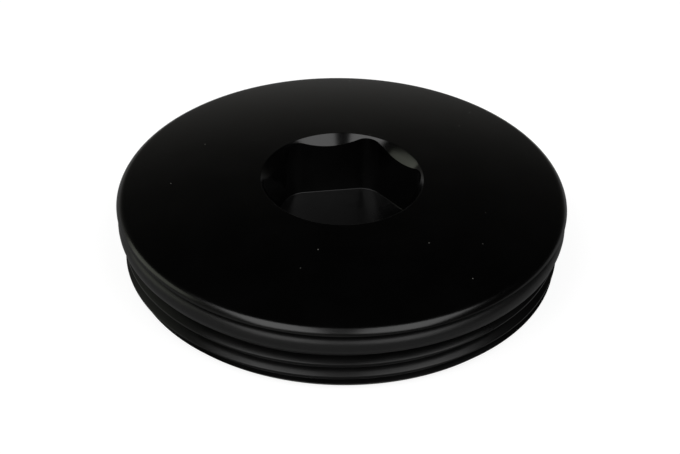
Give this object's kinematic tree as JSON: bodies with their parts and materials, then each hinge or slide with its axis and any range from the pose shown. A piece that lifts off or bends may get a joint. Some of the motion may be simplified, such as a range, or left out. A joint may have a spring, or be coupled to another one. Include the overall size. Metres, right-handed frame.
{
  "type": "threaded protection cap",
  "caption": "Round screw-in protection cap with a domed face, thin flange, hexagon key socket, fine male thread and a rubber O-ring under the flange.",
  "frame": {"origin": "on the axis of the cap, in the flat end face of the thread that it stands on", "axes": "+Z along the axis, out of the domed face; two flats of the hexagon socket face +Y and -Y"},
  "size_m": [0.0312, 0.0312, 0.007],
  "materials": {
    "black_anodised": "satin black anodised, with fine turning marks on the turned faces",
    "black_rubber": "matte moulded nitrile rubber with a faint mould line"
  },
  "bodies": {
    "root": {"cap_body": "black_anodised", "o_ring": "black_rubber"}
  },
  "joints": []
}
